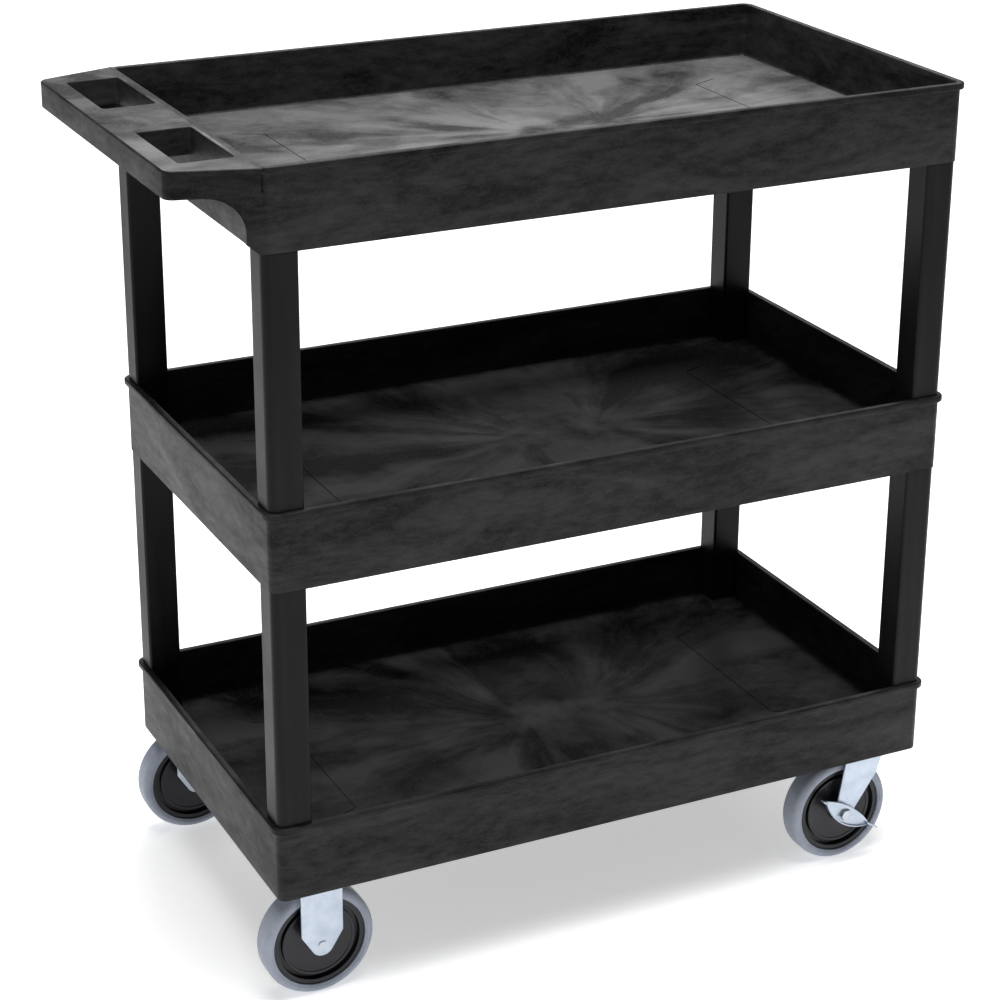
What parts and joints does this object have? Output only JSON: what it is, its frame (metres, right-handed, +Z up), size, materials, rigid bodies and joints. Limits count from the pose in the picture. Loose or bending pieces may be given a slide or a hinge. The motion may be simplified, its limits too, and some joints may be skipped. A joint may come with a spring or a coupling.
{
  "type": "rolling utility cart",
  "caption": "Moulded plastic utility cart: tub shelves stacked on hollow corner posts, a push handle with hand holes, fixed casters at the handle end and braked swivel casters in front.",
  "frame": {"origin": "on the ground, below the middle of the whole cart's box", "axes": "+X from the handle end to the front, +Y to the left of a person pushing the cart, +Z up"},
  "size_m": [0.8972, 0.4574, 0.932],
  "materials": {
    "tray_plastic": "moulded structural foam, matt with swirled flow marks",
    "post_plastic": "moulded plastic, satin",
    "tyre_rubber": "grey rubber, satin",
    "core_plastic": "moulded plastic, satin",
    "zinc_sheet": "zinc-plated pressed steel",
    "zinc_fastener": "zinc-plated steel",
    "bearing_steel": "polished steel",
    "insert_brass": "brass"
  },
  "bodies": {
    "chassis": {"bottom_tray": "tray_plastic", "caster_bolt_washers": "zinc_fastener", "caster_bolts": "zinc_fastener", "front_left_caster_plate": "zinc_sheet", "front_left_kingpin": "zinc_fastener", "front_left_upper_race": "zinc_fastener", "front_right_caster_plate": "zinc_sheet", "front_right_kingpin": "zinc_fastener", "front_right_upper_race": "zinc_fastener", "handle_left_axle_rivet": "zinc_fastener", "handle_left_axle_sleeve": "zinc_fastener", "handle_left_fork": "zinc_sheet", "handle_left_thrust_washers": "zinc_fastener", "handle_right_axle_rivet": "zinc_fastener", "handle_right_axle_sleeve": "zinc_fastener", "handle_right_fork": "zinc_sheet", "handle_right_thrust_washers": "zinc_fastener", "lower_post_front_left": "post_plastic", "lower_post_front_right": "post_plastic", "lower_post_handle_left": "post_plastic", "lower_post_handle_right": "post_plastic", "middle_tray": "tray_plastic", "threaded_inserts": "insert_brass", "top_tray": "tray_plastic", "upper_post_front_left": "post_plastic", "upper_post_front_right": "post_plastic", "upper_post_handle_left": "post_plastic", "upper_post_handle_right": "post_plastic"},
    "front_left_swivel": {"front_left_axle_bolt": "zinc_fastener", "front_left_axle_nut": "zinc_fastener", "front_left_axle_sleeve": "zinc_fastener", "front_left_brake_cam": "zinc_sheet", "front_left_fork": "zinc_sheet", "front_left_lower_race": "zinc_fastener", "front_left_race_balls": "bearing_steel", "front_left_thrust_washers": "zinc_fastener"},
    "front_left_brake": {"front_left_brake_lever": "zinc_sheet"},
    "front_left_wheel": {"front_left_tyre": "tyre_rubber", "front_left_wheel_core": "core_plastic"},
    "front_right_swivel": {"front_right_axle_bolt": "zinc_fastener", "front_right_axle_nut": "zinc_fastener", "front_right_axle_sleeve": "zinc_fastener", "front_right_brake_cam": "zinc_sheet", "front_right_fork": "zinc_sheet", "front_right_lower_race": "zinc_fastener", "front_right_race_balls": "bearing_steel", "front_right_thrust_washers": "zinc_fastener"},
    "front_right_brake": {"front_right_brake_lever": "zinc_sheet"},
    "front_right_wheel": {"front_right_tyre": "tyre_rubber", "front_right_wheel_core": "core_plastic"},
    "handle_left_wheel": {"handle_left_tyre": "tyre_rubber", "handle_left_wheel_core": "core_plastic"},
    "handle_right_wheel": {"handle_right_tyre": "tyre_rubber", "handle_right_wheel_core": "core_plastic"}
  },
  "joints": [
    {"name": "handle_right_wheel_spin", "type": "hinge", "parent": "chassis", "child": "handle_right_wheel", "pos_m": [-0.3129, -0.198, 0.0635], "axis": [0, 1, 0], "continuous": true},
    {"name": "handle_left_wheel_spin", "type": "hinge", "parent": "chassis", "child": "handle_left_wheel", "pos_m": [-0.3129, 0.198, 0.0635], "axis": [0, 1, 0], "continuous": true},
    {"name": "front_right_caster_turn", "type": "hinge", "parent": "chassis", "child": "front_right_swivel", "pos_m": [0.3855, -0.198, 0.0635], "axis": [0, 0, 1], "continuous": true},
    {"name": "front_right_wheel_spin", "type": "hinge", "parent": "front_right_swivel", "child": "front_right_wheel", "pos_m": [0.349, -0.198, 0.0635], "axis": [0, 1, 0], "continuous": true},
    {"name": "front_right_brake_press", "type": "hinge", "parent": "front_right_swivel", "child": "front_right_brake", "pos_m": [0.349, -0.198, 0.0635], "axis": [0, 1, 0], "range_deg": [-25, 0]},
    {"name": "front_left_caster_turn", "type": "hinge", "parent": "chassis", "child": "front_left_swivel", "pos_m": [0.3855, 0.198, 0.0635], "axis": [0, 0, 1], "continuous": true},
    {"name": "front_left_wheel_spin", "type": "hinge", "parent": "front_left_swivel", "child": "front_left_wheel", "pos_m": [0.349, 0.198, 0.0635], "axis": [0, 1, 0], "continuous": true},
    {"name": "front_left_brake_press", "type": "hinge", "parent": "front_left_swivel", "child": "front_left_brake", "pos_m": [0.349, 0.198, 0.0635], "axis": [0, 1, 0], "range_deg": [-25, 0]}
  ]
}
